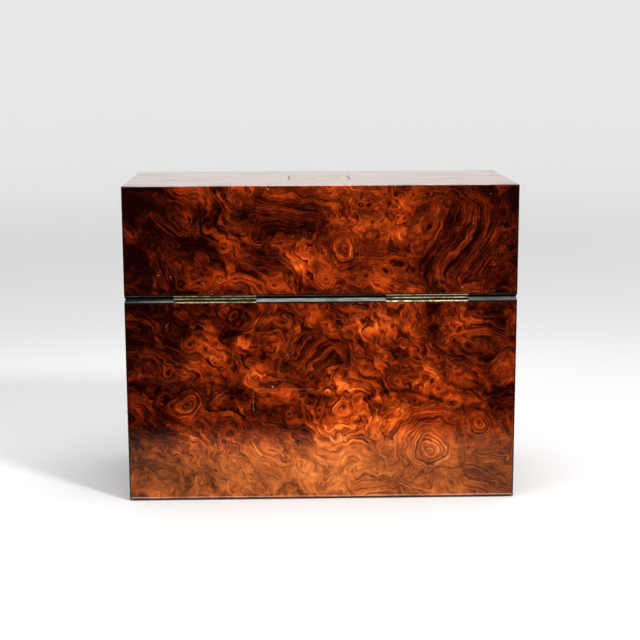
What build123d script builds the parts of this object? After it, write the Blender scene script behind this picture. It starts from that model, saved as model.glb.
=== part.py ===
from build123d import *
import math
import os

# Decanter box: a burr walnut case with a deep hinged lid, three square decanters and their stoppers.
# Millimetres. X runs along the box, -Y is the hinge side, +Y the lock side, Z is up.
# The origin is the middle of the underside.

# Outer size, and the height of the joint between case and lid
width = 330.0
depth = 148.0
height = 270.0
seam = 175.0

# Walls
veneer = 1.0
board = 12.0
top_board = 10.0
base_board = 10.0
baize = 1.2
baize_inset = 2.5
edge_round = 1.2

# Black facing on both rims. The bevels at the back make the groove and let the lid open;
# on the other three sides the facing only slopes in a little.
facing = 3.9
groove_depth = 3.0
side_slope_depth = 0.8
lid_opening = 95.0
stop_play = 1.0

# Hinges
hinge_length = 69.0
hinge_from_side = 41.4
knuckles = 5
barrel_radius = 1.9
barrel_play = 0.3
knuckle_play = 0.2
pin_radius = 0.9
pin_play = 0.05
leaf_play = 0.1
leaf_thickness = 1.6
leaf_margin = 2.0
nose_reach = 4.0
screws_per_leaf = 3
hinge_screw_end = 10.5
hinge_screw_inset = 3.2

# Countersunk screws
screw_head_radius = 2.3
screw_shank_radius = 1.2
screw_head_depth = 1.3
screw_length = 11.0
slot_width = 0.6
slot_depth = 0.5
slot_angle = 20.0
slot_angle_step = 50.0

# Velvet-covered boards inside
side_lining = 3.0
packing = 13.3
floor_pad = 3.0
divider = 6.0
lining_below_rim = 3.0
divider_below_rim = 16.0
lid_lining = 3.0
lid_lining_above_rim = 2.0
top_pad = 4.0

# Decanters
decanter_count = 3
decanter_play = 2.6
corner_cut = 7.0
inside_corner_cut = 5.6
glass_wall = 6.0
glass_base = 13.0
shoulder_height = 18.0
neck_height = 28.0
neck_half = 18.0
bore_radius = 11.5
lip_height = 5.0
lip_radius = 24.0
lip_round = 2.0
seat_radius = 13.5
seat_length = 30.0

# Stoppers
stopper_play = 0.3
plug_length = 26.0
collar_radius = 16.0
collar_height = 3.0
collar_round = 1.0
stopper_height = 44.0
stopper_foot_half = 11.0
stopper_stem_half = 9.0
stopper_head_half = 21.5
stopper_top_half = 9.5
stopper_stem_rise = 7.0
stopper_girdle_low = 20.0
stopper_girdle_high = 29.0
head_room = 5.0

# Lock in the front wall
lock_from_inside = 5.5
plate_length = 64.0
plate_width = 8.0
plate_thickness = 1.6
plate_screw_inset = 3.2
lock_length = 53.0
lock_thickness = 8.4
lock_drop = 34.0
lock_wall = 0.9
bolt_thickness = 2.4
bolt_play = 0.3
bolt_travel = 5.0
web_height = 4.5
web_drop = 16.0
post_width = 3.0
finger_height = 3.0
finger_drop = 7.4
finger_reach = 5.6
finger_gap = 0.8
tail_width = 12.0
tail_height = 8.0
talon_width = 4.0
talon_height = 4.0

# Links on the lid's plate, which the bolt goes through
link_spacing = 28.0
link_thickness = 2.5
link_width = 5.0
link_drop = 10.0
eye_width = 3.4
eye_height = 4.6
eye_bottom = 1.6
slot_play = 0.8

# Keyhole plate
keyhole_drop = 23.0
keyhole_radius = 2.4
keyhole_slot = 2.0
keyhole_length = 7.5
escutcheon_width = 20.0
escutcheon_height = 28.0
escutcheon_pin_radius = 0.7
escutcheon_pin_length = 2.8
escutcheon_pin_inset = 2.2

# Blank brass plate on the lid
plaque_length = 50.0
plaque_width = 39.0
plaque_point = 1.8
plaque_tip_half = 3.5

# Worked out from the sizes above
half_x = width / 2
half_y = depth / 2
rim = veneer + board
inner_x = half_x - rim
inner_y = half_y - rim
case_top = seam - facing
lid_bottom = seam + facing
lid_board_top = height - veneer
lid_ceiling = lid_board_top - top_board
floor_level = baize + base_board
glass_floor = floor_level + floor_pad
pad_underside = lid_ceiling - top_pad
bevel_slope = math.tan(math.radians((lid_opening + stop_play) / 2))
bevel_height = groove_depth * bevel_slope
hinge_y = groove_depth - half_y
hinge_x = half_x - hinge_from_side - hinge_length / 2
knuckle_length = hinge_length / knuckles
leaf_back = rim - leaf_margin - groove_depth
scoop_radius = barrel_radius + barrel_play
lock_y = inner_y + lock_from_inside
place = (2 * (inner_x - side_lining) - (decanter_count - 1) * divider) / decanter_count
place_pitch = place + divider
decanter_half_x = place / 2 - decanter_play
decanter_half_y = inner_y - packing - decanter_play
stopper_top = pad_underside - head_room
lip_top = stopper_top - stopper_height - stopper_play
neck_top = lip_top - lip_height
shoulder_top = neck_top - neck_height
body_top = shoulder_top - shoulder_height
over = 1.0


# Plain shapes

def block(x0, x1, y0, y1, z0, z1):
    """A box between two corners."""
    middle = Pos((x0 + x1) / 2, (y0 + y1) / 2, (z0 + z1) / 2)
    return middle * Box(x1 - x0, y1 - y0, z1 - z0)


def rod(radius, x0, x1):
    """A round bar along X, centred on the X axis."""
    return Pos((x0 + x1) / 2, 0, 0) * Rot(0, 90, 0) * Cylinder(radius, x1 - x0)


def prism_x(points, x0, x1):
    """A prism along X over an outline of (y, z) points."""
    outline = make_face(Polyline(*points, close=True))
    return Pos(x0, 0, 0) * extrude(Plane.YZ * outline, x1 - x0)


def prism_z(points, z0, z1):
    """A prism along Z over an outline of (x, y) points."""
    outline = make_face(Polyline(*points, close=True))
    return Pos(0, 0, z0) * extrude(outline, z1 - z0)


def flip(solid):
    """Mirrored from the case's side of the seam to the lid's."""
    return mirror(solid, Plane.XY.offset(seam))


def outer_form():
    """The whole box with its upright and top edges slightly rounded."""
    whole = block(-half_x, half_x, -half_y, half_y, baize, height)
    softened = whole.edges().filter_by(Axis.Z) + whole.faces().sort_by(Axis.Z)[-1].edges()
    return fillet(softened, edge_round)


# Carcase and veneers, case and lid alike

def wall_boards(z0, z1):
    """Four boards: back and front run through, left and right stand between them."""
    skin_x = half_x - veneer
    skin_y = half_y - veneer
    return {
        "back_board": block(-skin_x, skin_x, -skin_y, -inner_y, z0, z1),
        "front_board": block(-skin_x, skin_x, inner_y, skin_y, z0, z1),
        "left_board": block(-skin_x, -inner_x, -inner_y, inner_y, z0, z1),
        "right_board": block(inner_x, skin_x, -inner_y, inner_y, z0, z1),
    }


def wall_veneers(z0, z1, form):
    """Four sheets of veneer: back and front cover the edges of the side sheets."""
    skin_y = half_y - veneer
    sheets = {
        "back_veneer": block(-half_x, half_x, -half_y, -skin_y, z0, z1),
        "front_veneer": block(-half_x, half_x, skin_y, half_y, z0, z1),
        "left_veneer": block(-half_x, veneer - half_x, -skin_y, skin_y, z0, z1),
        "right_veneer": block(half_x - veneer, half_x, -skin_y, skin_y, z0, z1),
    }
    return {name: sheet & form for name, sheet in sheets.items()}


def rim_sides():
    """The four sides of the rim: half its length, its distance, the depth of its bevel and its turn."""
    return [
        (half_x, half_y, groove_depth, 0),
        (half_y, half_x, side_slope_depth, 90),
        (half_x, half_y, side_slope_depth, 180),
        (half_y, half_x, side_slope_depth, 270),
    ]


def rim_bevels():
    """What is planed off the outside of the case's rim, right through the corners."""
    cutters = []
    for reach, span, inward, turn in rim_sides():
        outline = [
            (-span, seam - bevel_height),
            (2 * inward - span, seam + bevel_height),
            (-span - over, seam + bevel_height),
            (-span - over, seam - bevel_height),
        ]
        cutters.append(Rot(0, 0, turn) * prism_x(outline, -reach - over, reach + over))
    return cutters


def rim_facing(form):
    """The case's black rim: four strips, mitred at the corners and bevelled outside."""
    strips = []
    for reach, span, _, turn in rim_sides():
        mitred = [(-reach, -span), (reach, -span), (reach - rim, rim - span), (rim - reach, rim - span)]
        strip = (Rot(0, 0, turn) * prism_z(mitred, case_top, seam)) & form
        strips.append(cut_all(strip, rim_bevels()))
    return strips


# Hinges, drawn about their own axis for the case side, with z below zero

def knuckle_span(number):
    """Where one knuckle's share of the barrel begins and ends."""
    start = number * knuckle_length - hinge_length / 2
    return start, start + knuckle_length


def hinge_leaf(own, eye_radius):
    """A leaf: thin plate under the rim, bevelled nose at the back, and its own knuckles."""
    end = hinge_length / 2
    nose = block(-end, end, -groove_depth, nose_reach, -facing, -leaf_play)
    plate = block(-end, end, 0, leaf_back, -leaf_thickness - leaf_play, -leaf_play)
    beyond = groove_depth + over
    bevel = prism_x([(0, 0), (-beyond, -beyond * bevel_slope), (-beyond, over), (0, over)], -end, end)
    leaf = nose + plate - bevel
    for number in range(knuckles):
        start, stop = knuckle_span(number)
        gap = knuckle_play / 2
        if number in own:
            first = start if number == 0 else start + gap
            last = stop if number == knuckles - 1 else stop - gap
            leaf += rod(barrel_radius, first, last)
        else:
            leaf -= rod(scoop_radius, start - gap, stop + gap)
    leaf -= rod(eye_radius, -end - over, end + over)
    return cut_all(leaf, hinge_screws())


def hinge_screw_row():
    """Where the screws of one leaf stand along the hinge, evenly from one end hole to the other."""
    pitch = (hinge_length - 2 * hinge_screw_end) / (screws_per_leaf - 1)
    return [number * pitch + hinge_screw_end - hinge_length / 2 for number in range(screws_per_leaf)]


def hinge_screws():
    """The screws of one leaf, heads level with the leaf's face."""
    y = leaf_back - hinge_screw_inset
    return [Pos(x, y, -leaf_play) * screw() for x in hinge_screw_row()]


def screw():
    """A countersunk screw, pointing down from z = 0, before its slot is cut."""
    head = Pos(0, 0, -screw_head_depth / 2) * Cone(screw_shank_radius, screw_head_radius, screw_head_depth)
    shank = Pos(0, 0, -screw_length / 2) * Cylinder(screw_shank_radius, screw_length)
    return head + shank


def slotted(solid, x, y, z, turn):
    """Cuts the driver's slot into a screw head whose face is at z."""
    cutter = Box(2 * screw_head_radius + over, slot_width, 2 * slot_depth)
    return solid - Pos(x, y, z) * Rot(0, 0, turn) * cutter


def hinge_pocket():
    """What a leaf takes out of the rim: its nose and its plate."""
    end = hinge_length / 2
    nose = block(-end, end, -groove_depth - over, nose_reach, -facing, over)
    plate = block(-end, end, 0, leaf_back, -leaf_thickness - leaf_play, over)
    return nose + plate


def at_hinge(solid, side):
    """Moves something drawn about the hinge's axis to the left (-1) or right (+1) hinge."""
    return Pos(side * hinge_x, hinge_y, seam) * solid


# Lock, drawn in place

def lock_strip(z0, z1):
    """A brass strip with round ends, centred on the lock, between two levels."""
    radius = plate_width / 2
    straight = plate_length / 2 - radius
    outline = Rectangle(2 * straight, 2 * radius)
    for side in (-1, 1):
        outline += Pos(side * straight, 0) * Circle(radius)
    return Pos(0, lock_y, z0) * extrude(outline, z1 - z0)


def plate_screw_spots():
    """Where the two screws of the lock and of the link plate stand."""
    reach = plate_length / 2 - plate_screw_inset
    return [(-reach, lock_y), (reach, lock_y)]


def link_centres():
    """The two links along X."""
    return [-link_spacing / 2, link_spacing / 2]


def bolt_level():
    """Height of the underside of the bolt's web."""
    return seam - web_drop


def keyhole(y0, y1):
    """A keyhole: a round hole with a slot below it."""
    z = seam - keyhole_drop
    eye = Pos(0, (y0 + y1) / 2, z) * Rot(90, 0, 0) * Cylinder(keyhole_radius, y1 - y0)
    half = keyhole_slot / 2
    return eye + block(-half, half, y0, y1, z - keyhole_length, z)


def lock_block():
    """Outer form of the lock: top strip and the case under it."""
    strip = lock_strip(seam - leaf_play - plate_thickness, seam - leaf_play)
    case = block(
        -lock_length / 2, lock_length / 2,
        lock_y - lock_thickness / 2, lock_y + lock_thickness / 2,
        seam - lock_drop, seam - leaf_play - plate_thickness,
    )
    return strip + case


def lock_case():
    """The lock: a hollow case with room for the links above and a channel for the bolt below."""
    roof = seam - leaf_play - plate_thickness
    half_length = lock_length / 2 - lock_wall
    half_room = lock_thickness / 2 - lock_wall
    half_channel = bolt_thickness / 2 + bolt_play
    channel_floor = bolt_level() - bolt_play
    channel_top = bolt_level() + web_height
    left, right = bolt_span()
    link_room = block(-half_length, half_length, lock_y - half_room, lock_y + half_room, channel_top, roof)
    channel = block(
        left - bolt_play, right + bolt_travel + bolt_play,
        lock_y - half_channel, lock_y + half_channel,
        channel_floor, channel_top + over,
    )
    tail_half = tail_width / 2 + bolt_play
    tail_room = block(
        tail_middle() - tail_half, tail_middle() + tail_half + bolt_travel,
        lock_y - half_channel, lock_y + half_channel,
        bolt_level() - tail_height - bolt_play, channel_top,
    )
    lock = lock_block() - link_room - channel - tail_room
    for x in link_centres():
        lock -= block(
            x - link_thickness / 2 - slot_play, x + link_thickness / 2 + slot_play,
            lock_y - link_width / 2 - slot_play, lock_y + link_width / 2 + slot_play,
            roof - over, seam,
        )
    lock -= keyhole(lock_y, lock_y + lock_thickness)
    for x, y in plate_screw_spots():
        lock -= Pos(x, y, seam - leaf_play) * screw()
    return lock


def post_left(x):
    """Left side of the post that carries the finger beside the link at x."""
    tip = x - link_thickness / 2 - finger_gap
    return tip - finger_reach - post_width


def bolt_span():
    """The bolt's web, from the left post to the right one, at rest."""
    first, last = link_centres()
    return post_left(first), post_left(last) + post_width


def tail_middle():
    """Middle of the bolt's tail, so that the keyhole stays over its path."""
    return -bolt_travel / 2


def lock_bolt():
    """The bolt: a web with two posts, whose fingers slide through the links, and a notched tail."""
    left, right = bolt_span()
    low = bolt_level()
    y0 = lock_y - bolt_thickness / 2
    y1 = lock_y + bolt_thickness / 2
    finger_low = seam - finger_drop
    bolt = block(left, right, y0, y1, low, low + web_height)
    for x in link_centres():
        start = post_left(x)
        bolt += block(start, start + post_width, y0, y1, low, finger_low + finger_height)
        tip = start + post_width + finger_reach
        bolt += block(start, tip, y0, y1, finger_low, finger_low + finger_height)
    middle = tail_middle()
    bolt += block(middle - tail_width / 2, middle + tail_width / 2, y0, y1, low - tail_height, low)
    talon = block(middle - talon_width / 2, middle + talon_width / 2, y0, y1, low - tail_height,
                  low - tail_height + talon_height)
    return bolt - talon


def link(x, low, high):
    """One link: an upright strip that goes through the link plate and hangs into the lock."""
    return block(x - link_thickness / 2, x + link_thickness / 2,
                 lock_y - link_width / 2, lock_y + link_width / 2, low, high)


def link_with_eye(x):
    """A link with the eye that the bolt's finger goes through."""
    low = seam - link_drop
    eye = block(x - link_thickness, x + link_thickness, lock_y - eye_width / 2, lock_y + eye_width / 2,
                low + eye_bottom, low + eye_bottom + eye_height)
    return link(x, low, seam + leaf_play + plate_thickness) - eye


def link_plate():
    """The lid's plate, with a hole for each link's riveted end."""
    plate = lock_strip(seam + leaf_play, seam + leaf_play + plate_thickness)
    for x in link_centres():
        plate -= link(x, seam, lid_bottom)
    for x, y in plate_screw_spots():
        plate -= Pos(x, y, seam + leaf_play) * Rot(180, 0, 0) * screw()
    return plate


def escutcheon_level():
    """Height of the keyhole plate's middle, which is the keyhole's middle."""
    return seam - keyhole_drop - (keyhole_length - keyhole_radius) / 2


def escutcheon():
    """The keyhole plate: an upright oval, flush in the front veneer."""
    z = escutcheon_level()
    lying = Plane(origin=(0, half_y, z), x_dir=(1, 0, 0), z_dir=(0, -1, 0))
    return extrude(lying * Ellipse(escutcheon_width / 2, escutcheon_height / 2), veneer)


def escutcheon_pins():
    """Two small brass pins, above and below the keyhole."""
    z = escutcheon_level()
    reach = escutcheon_height / 2 - escutcheon_pin_inset
    middle = half_y - escutcheon_pin_length / 2
    pin = Rot(90, 0, 0) * Cylinder(escutcheon_pin_radius, escutcheon_pin_length)
    return [Pos(0, middle, z + side * reach) * pin for side in (-1, 1)]


def plaque(z0, z1):
    """The blank plate on the lid: a rectangle whose ends come to a low point."""
    x = plaque_length / 2
    y = plaque_width / 2
    tip = x + plaque_point
    outline = [
        (-x, -y), (x, -y), (x, -plaque_tip_half), (tip, 0), (x, plaque_tip_half),
        (x, y), (-x, y), (-x, plaque_tip_half), (-tip, 0), (-x, -plaque_tip_half),
    ]
    return prism_z(outline, z0, z1)


# Glass

def cut_square(a, b, cut, z):
    """A rectangle, 2a by 2b, with its corners cut off, as a face at height z."""
    outline = [
        (-a + cut, -b), (a - cut, -b), (a, -b + cut), (a, b - cut),
        (a - cut, b), (-a + cut, b), (-a, b - cut), (-a, -b + cut),
    ]
    return Pos(0, 0, z) * make_face(Polyline(*outline, close=True))


def octagon(half, z):
    """A regular octagon, given as half its width across flats."""
    return cut_square(half, half, half * (1 - math.tan(math.radians(22.5))), z)


def decanter():
    """A square decanter about the Z axis: thick base, cut corners, sloping shoulder, faceted neck."""
    a = decanter_half_x
    b = decanter_half_y
    glass = extrude(cut_square(a, b, corner_cut, glass_floor), body_top - glass_floor)
    glass += loft([cut_square(a, b, corner_cut, body_top), octagon(neck_half, shoulder_top)], ruled=True)
    glass += extrude(octagon(neck_half, shoulder_top), neck_height)
    lip = Pos(0, 0, neck_top + lip_height / 2) * Cylinder(lip_radius, lip_height)
    glass += fillet(lip.edges().filter_by(GeomType.CIRCLE), lip_round)

    wall = glass_wall
    well_top = body_top - wall / 2
    shoulder_in = shoulder_top - wall / 2
    well_floor = glass_floor + glass_base
    well = extrude(cut_square(a - wall, b - wall, inside_corner_cut, well_floor), well_top - well_floor)
    well_face = cut_square(a - wall, b - wall, inside_corner_cut, well_top)
    well += loft([well_face, octagon(bore_radius, shoulder_in)], ruled=True)
    bore_bottom = shoulder_in - wall
    well += Pos(0, 0, (bore_bottom + lip_top) / 2) * Cylinder(bore_radius, lip_top - bore_bottom)
    seat_middle = lip_top - seat_length / 2
    well += Pos(0, 0, seat_middle) * Cone(bore_radius, seat_radius, seat_length)
    return glass - well


def stopper():
    """A faceted stopper about the Z axis, with its tapered plug in the decanter's neck."""
    taper = (seat_radius - bore_radius) / seat_length
    top_radius = seat_radius - stopper_play
    low_radius = top_radius - taper * plug_length
    base = lip_top + stopper_play
    glass = Pos(0, 0, base - plug_length / 2) * Cone(low_radius, top_radius, plug_length)
    collar = Pos(0, 0, base + collar_height / 2) * Cylinder(collar_radius, collar_height)
    glass += fillet(collar.edges().filter_by(GeomType.CIRCLE), collar_round)
    sections = [
        octagon(stopper_foot_half, base + collar_height),
        octagon(stopper_stem_half, base + stopper_stem_rise),
        octagon(stopper_head_half, base + stopper_girdle_low),
        octagon(stopper_head_half, base + stopper_girdle_high),
        octagon(stopper_top_half, base + stopper_height),
    ]
    for lower, upper in zip(sections, sections[1:]):
        glass += loft([lower, upper], ruled=True)
    return glass


def place_centre(number):
    """X of one of the three places."""
    return (number - (decanter_count - 1) / 2) * place_pitch


# Linings

def case_linings():
    """Velvet-covered boards on the case's walls, its floor board and the two dividers."""
    top = seam - lining_below_rim
    side = inner_y - packing
    end = inner_x - side_lining
    pieces = {
        "case_back_lining": block(-inner_x, inner_x, -inner_y, -side, floor_level, top),
        "case_front_lining": block(-inner_x, inner_x, side, inner_y, floor_level, top),
        "case_left_lining": block(-inner_x, -end, -side, side, floor_level, top),
        "case_right_lining": block(end, inner_x, -side, side, floor_level, top),
        "floor_pad": block(-end, end, -side, side, floor_level, glass_floor),
    }
    divider_top = seam - divider_below_rim
    for name, x in (("divider_left", -place_pitch / 2), ("divider_right", place_pitch / 2)):
        pieces[name] = block(x - divider / 2, x + divider / 2, -side, side, glass_floor, divider_top)
    return pieces


def lid_linings():
    """Velvet-covered boards on the lid's walls and the padded panel under its top."""
    low = seam + lid_lining_above_rim
    x = inner_x - lid_lining
    y = inner_y - lid_lining
    return {
        "lid_back_lining": block(-inner_x, inner_x, -inner_y, -y, low, pad_underside),
        "lid_front_lining": block(-inner_x, inner_x, y, inner_y, low, pad_underside),
        "lid_left_lining": block(-inner_x, -x, -y, y, low, pad_underside),
        "lid_right_lining": block(x, inner_x, -y, y, low, pad_underside),
        "lid_top_pad": block(-inner_x, inner_x, -inner_y, inner_y, pad_underside, lid_ceiling),
    }


# Assembly

def box_case(form):
    """Case: carcase, veneers, rim and base, with the pockets for hinges and lock."""
    pieces = {}
    for name, solid in wall_boards(baize, case_top).items():
        pieces["case_" + name] = solid
    for name, solid in wall_veneers(baize, case_top, form).items():
        pieces["case_" + name] = solid
    pieces["case_base_board"] = block(-inner_x, inner_x, -inner_y, inner_y, baize, floor_level)
    pieces["base_baize"] = block(
        baize_inset - half_x, half_x - baize_inset, baize_inset - half_y, half_y - baize_inset, 0, baize
    )
    strips = rim_facing(form)
    for side in (-1, 1):
        pocket = at_hinge(hinge_pocket(), side)
        holes = [at_hinge(solid, side) for solid in hinge_screws()]
        strips = [cut_all(strip, [pocket] + holes) for strip in strips]
        pieces["case_back_board"] = cut_all(pieces["case_back_board"], holes)
    lock_screw_forms = [Pos(x, y, seam - leaf_play) * screw() for x, y in plate_screw_spots()]
    strips = [cut_all(strip, [lock_block(), lock_strip(seam - over, seam + over)] + lock_screw_forms)
              for strip in strips]
    front = cut_all(pieces["case_front_board"], [lock_block()] + lock_screw_forms + escutcheon_pins())
    pieces["case_front_board"] = front - keyhole(lock_y, half_y)
    pieces["case_front_veneer"] = cut_all(pieces["case_front_veneer"], [escutcheon()])
    pieces["case_rim_facing"] = strips
    return pieces


def box_lid(form):
    """Lid: carcase, veneers, rim and top, with the pockets for hinges, link plate and plaque."""
    pieces = {}
    for name, solid in wall_boards(lid_bottom, lid_ceiling).items():
        pieces["lid_" + name] = solid
    for name, solid in wall_veneers(lid_bottom, lid_board_top, form).items():
        pieces["lid_" + name] = solid
    skin_x = half_x - veneer
    skin_y = half_y - veneer
    pieces["lid_top_board"] = block(-skin_x, skin_x, -skin_y, skin_y, lid_ceiling, lid_board_top)
    sheet = block(-half_x, half_x, -half_y, half_y, lid_board_top, height) & form
    pieces["lid_top_veneer"] = sheet - plaque(lid_board_top, height + over)
    strips = [flip(strip) for strip in rim_facing(form)]
    for side in (-1, 1):
        pocket = flip(at_hinge(hinge_pocket(), side))
        holes = [flip(at_hinge(solid, side)) for solid in hinge_screws()]
        strips = [cut_all(strip, [pocket] + holes) for strip in strips]
        pieces["lid_back_board"] = cut_all(pieces["lid_back_board"], holes)
    screw_forms = [Pos(x, y, seam + leaf_play) * Rot(180, 0, 0) * screw() for x, y in plate_screw_spots()]
    pocket = lock_strip(seam - over, seam + leaf_play + plate_thickness)
    strips = [cut_all(strip, [pocket] + screw_forms) for strip in strips]
    pieces["lid_front_board"] = cut_all(pieces["lid_front_board"], screw_forms)
    pieces["lid_rim_facing"] = strips
    return pieces


def cut_all(solid, cutters):
    """Takes each cutter out of a solid."""
    for cutter in cutters:
        solid = solid - cutter
    return solid


def hinges():
    """Two hinges: case leaf, lid leaf and pin each, and the screws as two groups."""
    case_knuckles = range(0, knuckles, 2)
    lid_knuckles = range(1, knuckles, 2)
    case_leaf = hinge_leaf(case_knuckles, pin_radius)
    lid_leaf = mirror(hinge_leaf(lid_knuckles, pin_radius + pin_play), Plane.XY)
    pin = rod(pin_radius, -hinge_length / 2, hinge_length / 2)
    pieces = {}
    case_screws = []
    lid_screws = []
    for name, side in (("left", -1), ("right", 1)):
        pieces["hinge_case_leaf_" + name] = at_hinge(case_leaf, side)
        pieces["hinge_lid_leaf_" + name] = at_hinge(lid_leaf, side)
        pieces["hinge_pin_" + name] = at_hinge(pin, side)
        for number, (solid, x) in enumerate(zip(hinge_screws(), hinge_screw_row())):
            turn = slot_angle + slot_angle_step * number
            driven = at_hinge(slotted(solid, x, leaf_back - hinge_screw_inset, -leaf_play, turn), side)
            case_screws.append(driven)
            lid_screws.append(flip(driven))
    pieces["hinge_case_screws"] = case_screws
    pieces["hinge_lid_screws"] = lid_screws
    return pieces


def lock_set():
    """Lock, bolt, link plate and links, their screws, and the keyhole plate with its pins."""
    face = seam - leaf_play
    lock_screws = []
    link_screws = []
    for number, (x, y) in enumerate(plate_screw_spots()):
        driven = slotted(Pos(x, y, face) * screw(), x, y, face, slot_angle + slot_angle_step * number)
        lock_screws.append(driven)
        link_screws.append(flip(driven))
    plate = escutcheon() - keyhole(lock_y, half_y + over)
    return {
        "lock_case": lock_case(),
        "lock_bolt": lock_bolt(),
        "lock_screws": lock_screws,
        "link_plate": link_plate(),
        "link_left": link_with_eye(link_centres()[0]),
        "link_right": link_with_eye(link_centres()[1]),
        "link_plate_screws": link_screws,
        "escutcheon": cut_all(plate, escutcheon_pins()),
        "escutcheon_pins": escutcheon_pins(),
    }


def glassware():
    """Three decanters and their stoppers."""
    pieces = {}
    bottle = decanter()
    plug = stopper()
    names = ("left", "centre", "right")
    for number, name in enumerate(names):
        x = place_centre(number)
        pieces["decanter_" + name] = Pos(x, 0, 0) * bottle
        pieces["stopper_" + name] = Pos(x, 0, 0) * plug
    return pieces


def main():
    """Every piece, one file each."""
    form = outer_form()
    pieces = {}
    pieces.update(box_case(form))
    pieces.update(box_lid(form))
    pieces.update(case_linings())
    pieces.update(lid_linings())
    pieces.update(hinges())
    pieces.update(lock_set())
    pieces.update(glassware())
    pieces["lid_plaque"] = plaque(lid_board_top, height)

    os.makedirs("parts", exist_ok=True)
    for name, made in pieces.items():
        solids = []
        for item in made if isinstance(made, list) else [made]:
            solids.extend(item.solids())
        export_step(solids[0] if len(solids) == 1 else Compound(children=solids), f"parts/{name}.step")
    print(len(pieces), "pieces")
    print("decanter", round(2 * decanter_half_x, 2), "by", round(2 * decanter_half_y, 2))


main()
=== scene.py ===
# %% [markdown]
# # A decanter box in burr walnut
# The object is a lidded case for three square decanters. Its outside is burr walnut under a high polish,
# and the photograph shows it from the back, where two long hinges lie in a deep black groove. This lesson
# takes the solid model of the box as it is, and gives every surface its finish. The pieces that are soft
# on the real box are modelled anew inside the space that the solid model keeps for them.

# %% Load the solid model
import math

import bmesh
import bpy
from mathutils import Matrix, Vector, noise


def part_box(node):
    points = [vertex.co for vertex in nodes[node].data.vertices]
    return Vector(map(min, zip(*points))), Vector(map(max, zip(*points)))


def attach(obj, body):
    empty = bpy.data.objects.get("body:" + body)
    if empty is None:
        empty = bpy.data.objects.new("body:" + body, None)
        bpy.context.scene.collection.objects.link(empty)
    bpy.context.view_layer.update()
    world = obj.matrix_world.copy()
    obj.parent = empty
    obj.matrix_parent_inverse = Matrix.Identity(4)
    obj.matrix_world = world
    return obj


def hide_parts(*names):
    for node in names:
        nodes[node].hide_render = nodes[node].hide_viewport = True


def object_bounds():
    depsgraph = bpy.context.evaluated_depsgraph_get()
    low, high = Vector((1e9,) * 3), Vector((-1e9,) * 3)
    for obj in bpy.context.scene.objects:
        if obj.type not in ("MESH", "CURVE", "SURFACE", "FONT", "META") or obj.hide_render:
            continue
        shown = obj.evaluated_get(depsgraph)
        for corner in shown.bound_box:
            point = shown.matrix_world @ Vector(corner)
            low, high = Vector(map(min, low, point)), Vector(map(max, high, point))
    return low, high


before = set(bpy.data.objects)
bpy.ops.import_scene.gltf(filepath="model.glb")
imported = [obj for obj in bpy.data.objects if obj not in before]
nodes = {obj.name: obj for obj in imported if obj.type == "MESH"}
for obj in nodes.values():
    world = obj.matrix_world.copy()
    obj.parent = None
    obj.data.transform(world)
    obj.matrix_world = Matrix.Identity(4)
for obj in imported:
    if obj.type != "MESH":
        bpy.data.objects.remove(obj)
solid_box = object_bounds()
MM = 0.001
print(len(nodes), "solid pieces; size in mm", [round(side / MM, 1) for side in solid_box[1] - solid_box[0]])

# %% [markdown]
# ## The camera
# The photograph was taken from a little over a metre behind the box, from above its top edge, with a
# moderately long lens. The tilt and turn were worked out from the corners of the box in the picture. A
# camera in Blender looks along its own -Z axis, so a quarter turn about X is put last.

# %% Camera
camera_place = Vector((-29.8, -1234.9, 371.2)) * MM
camera_turn = math.radians(-1.41)
camera_tilt = math.radians(-10.47)
camera_roll = math.radians(0.22)
lens_length = 79.0

camera_data = bpy.data.cameras.new("camera")
camera_data.lens = lens_length
camera_data.sensor_width = 36.0
camera = bpy.data.objects.new("camera", camera_data)
looking = Matrix.Rotation(camera_turn, 4, "Z") @ Matrix.Rotation(camera_tilt, 4, "X")
looking = looking @ Matrix.Rotation(camera_roll, 4, "Y") @ Matrix.Rotation(math.radians(90), 4, "X")
camera.matrix_world = Matrix.Translation(camera_place) @ looking
bpy.context.scene.collection.objects.link(camera)
bpy.context.scene.camera = camera
print("camera at", [round(value, 3) for value in camera_place], "with a lens of", lens_length, "mm")

# %% [markdown]
# ## A way to write materials
# A material in Blender is a web of nodes, and a long one is hard to read as a list of links. Here a small
# class holds one output of a node and lends it Python's operators, so that `1 - mask * 0.5` adds the Math
# nodes that it needs. Everything that isn't plain arithmetic goes through one method, which sets the
# node's own settings first and then fills its sockets with numbers, colours or other outputs.

# %% Wires and finishes
class Wire:
    """One output of a node, which can be used in sums."""

    def __init__(self, finish, socket):
        self.finish = finish
        self.socket = socket

    def __add__(self, other):
        return self.finish.maths("ADD", self, other)

    def __radd__(self, other):
        return self.finish.maths("ADD", other, self)

    def __sub__(self, other):
        return self.finish.maths("SUBTRACT", self, other)

    def __rsub__(self, other):
        return self.finish.maths("SUBTRACT", other, self)

    def __mul__(self, other):
        return self.finish.maths("MULTIPLY", self, other)

    def __rmul__(self, other):
        return self.finish.maths("MULTIPLY", other, self)

    def __truediv__(self, other):
        return self.finish.maths("DIVIDE", self, other)

    def __rtruediv__(self, other):
        return self.finish.maths("DIVIDE", other, self)

    def __abs__(self):
        return self.finish.maths("ABSOLUTE", self)


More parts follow.
